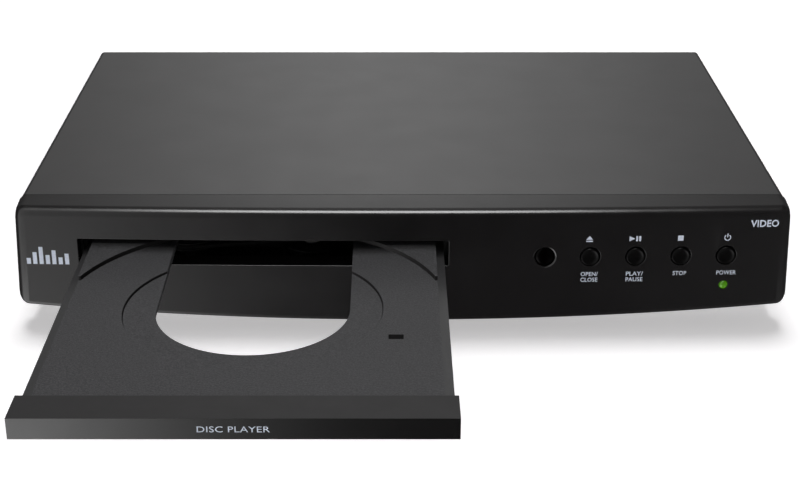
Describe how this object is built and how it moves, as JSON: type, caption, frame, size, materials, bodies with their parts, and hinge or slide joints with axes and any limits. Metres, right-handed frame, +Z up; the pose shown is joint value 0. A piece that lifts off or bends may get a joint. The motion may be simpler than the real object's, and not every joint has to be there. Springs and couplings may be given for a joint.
{
  "type": "disc player",
  "caption": "Low set-top disc player with a satin steel cover, a bowed glossy front and a motorised disc tray standing open.",
  "frame": {"origin": "centre of the bounding box of the open player, on the plane of its feet", "axes": "+Z up; the front and the open tray face -Y; +X is to the right of a person who faces the front"},
  "size_m": [0.2662, 0.3028, 0.046],
  "materials": {
    "cover_paint": "satin black paint with a fine grain",
    "fascia_gloss": "smooth black, semi-gloss",
    "tray_plastic": "fine spark-eroded texture",
    "key_plastic": "semi-gloss black",
    "window": "infra-red black, polished",
    "light_green": "clear green, lit",
    "zinc_steel": "zinc plated",
    "black_steel": "black oxide",
    "chrome": "bright nickel plate",
    "black_plastic": "moulded matt",
    "grey_plastic": "moulded matt",
    "white_plastic": "natural acetal",
    "rubber": "matt",
    "green_board": "solder-masked board",
    "pale_board": "paper laminate board",
    "aluminium": "extruded",
    "sleeve": "shrink sleeve",
    "coil_tape": "polyester tape",
    "lens_glass": "coated"
  },
  "bodies": {
    "case": {"top_cover": "cover_paint", "bottom_chassis": "zinc_steel", "rear_panel": "cover_paint", "foot_front_left": "rubber", "foot_front_right": "rubber", "foot_rear_left": "rubber", "foot_rear_right": "rubber", "cover_screw_left": "black_steel", "cover_screw_right": "black_steel", "front_fascia": "fascia_gloss", "remote_window": "window", "power_light_pipe": "light_green", "key_board": "pale_board", "remote_receiver": "black_plastic", "power_led": "white_plastic", "belt": "rubber", "loading_motor": "black_steel", "loader_frame": "black_plastic", "clamp_bridge": "zinc_steel", "main_board": "green_board", "decoder_heat_sink": "aluminium", "memory_chip": "black_plastic", "board_capacitor": "sleeve", "crystal": "chrome", "video_socket": "chrome", "jack_block": "black_plastic", "power_board": "pale_board", "mains_inlet": "black_plastic", "transformer": "coil_tape", "mains_capacitor": "sleeve", "output_capacitor_1": "sleeve", "output_capacitor_2": "sleeve", "power_heat_sink": "aluminium", "fuse": "chrome", "line_filter": "coil_tape", "key_ribbon": "white_plastic", "switch_open_close": "black_plastic", "switch_play_pause": "black_plastic", "switch_stop": "black_plastic", "switch_power": "black_plastic"},
    "tray": {"disc_tray": "tray_plastic", "tray_panel": "fascia_gloss"},
    "drive_gear": {"drive_gear": "black_plastic"},
    "pulley_gear": {"pulley_gear": "black_plastic"},
    "motor_pulley": {"motor_pulley": "white_plastic"},
    "cam": {"cam_slider": "white_plastic"},
    "traverse": {"traverse_deck": "black_plastic", "spindle_motor": "zinc_steel", "sled_rod_left": "chrome", "sled_rod_right": "chrome", "sled_motor": "zinc_steel"},
    "turntable": {"turntable": "black_plastic"},
    "lead_screw": {"lead_screw": "black_plastic"},
    "pickup": {"pickup_body": "grey_plastic"},
    "lens": {"objective_lens": "lens_glass"},
    "clamper": {"clamper": "white_plastic"},
    "key_open_close": {"key_open_close": "key_plastic"},
    "key_play_pause": {"key_play_pause": "key_plastic"},
    "key_stop": {"key_stop": "key_plastic"},
    "key_power": {"key_power": "key_plastic"}
  },
  "joints": [
    {"name": "tray_slide", "type": "slide", "parent": "case", "child": "tray", "axis": [0, 1, 0], "range_m": [0, 0.1165]},
    {"name": "drive_gear_spin", "type": "hinge", "parent": "case", "child": "drive_gear", "pos_m": [-0.0902, -0.00865, 0.027], "axis": [0, 0, 1], "continuous": true},
    {"name": "pulley_gear_spin", "type": "hinge", "parent": "case", "child": "pulley_gear", "pos_m": [-0.0752, -0.00865, 0.026], "axis": [0, 0, 1], "continuous": true},
    {"name": "motor_pulley_spin", "type": "hinge", "parent": "case", "child": "motor_pulley", "pos_m": [-0.032, -0.00765, 0.025], "axis": [0, 0, 1], "continuous": true},
    {"name": "cam_slide", "type": "slide", "parent": "case", "child": "cam", "axis": [1, 0, 0], "range_m": [0, 0.012]},
    {"name": "traverse_tilt", "type": "hinge", "parent": "case", "child": "traverse", "pos_m": [-0.0473, 0.11535, 0.019], "axis": [-1, 0, 0], "range_deg": [0, 3.51]},
    {"name": "turntable_spin", "type": "hinge", "parent": "traverse", "child": "turntable", "pos_m": [-0.0473, 0.03612, 0.02517], "axis": [0, -0.061, 0.9981], "continuous": true},
    {"name": "clamper_spin", "type": "hinge", "parent": "case", "child": "clamper", "pos_m": [-0.0473, 0.03665, 0.037], "axis": [0, 0, 1], "continuous": true},
    {"name": "pickup_slide", "type": "slide", "parent": "traverse", "child": "pickup", "axis": [0, 0.9981, 0.061], "range_m": [0, 0.034]},
    {"name": "lead_screw_spin", "type": "hinge", "parent": "traverse", "child": "lead_screw", "pos_m": [-0.0208, 0.06713, 0.02106], "axis": [0, 0.9981, 0.061], "continuous": true},
    {"name": "lens_focus", "type": "slide", "parent": "pickup", "child": "lens", "axis": [0, -0.061, 0.9981], "range_m": [-0.0004, 0.0005], "stiffness_N_per_m": 40},
    {"name": "key_open_close_press", "type": "slide", "parent": "case", "child": "key_open_close", "axis": [0, 1, 0], "range_m": [0, 0.0008], "stiffness_N_per_m": 600},
    {"name": "key_play_pause_press", "type": "slide", "parent": "case", "child": "key_play_pause", "axis": [0, 1, 0], "range_m": [0, 0.0008], "stiffness_N_per_m": 600},
    {"name": "key_stop_press", "type": "slide", "parent": "case", "child": "key_stop", "axis": [0, 1, 0], "range_m": [0, 0.0008], "stiffness_N_per_m": 600},
    {"name": "key_power_press", "type": "slide", "parent": "case", "child": "key_power", "axis": [0, 1, 0], "range_m": [0, 0.0008], "stiffness_N_per_m": 600}
  ],
  "couplings": [
    {"joint": "drive_gear_spin", "follows": "tray_slide", "rad_per_m": -100},
    {"joint": "pulley_gear_spin", "follows": "tray_slide", "rad_per_m": 200},
    {"joint": "motor_pulley_spin", "follows": "tray_slide", "rad_per_m": 583.1},
    {"joint": "traverse_tilt", "follows": "cam_slide", "rad_per_m": 5.0905},
    {"joint": "clamper_spin", "follows": "turntable_spin", "ratio": 1},
    {"joint": "lead_screw_spin", "follows": "pickup_slide", "rad_per_m": 2094.4}
  ]
}
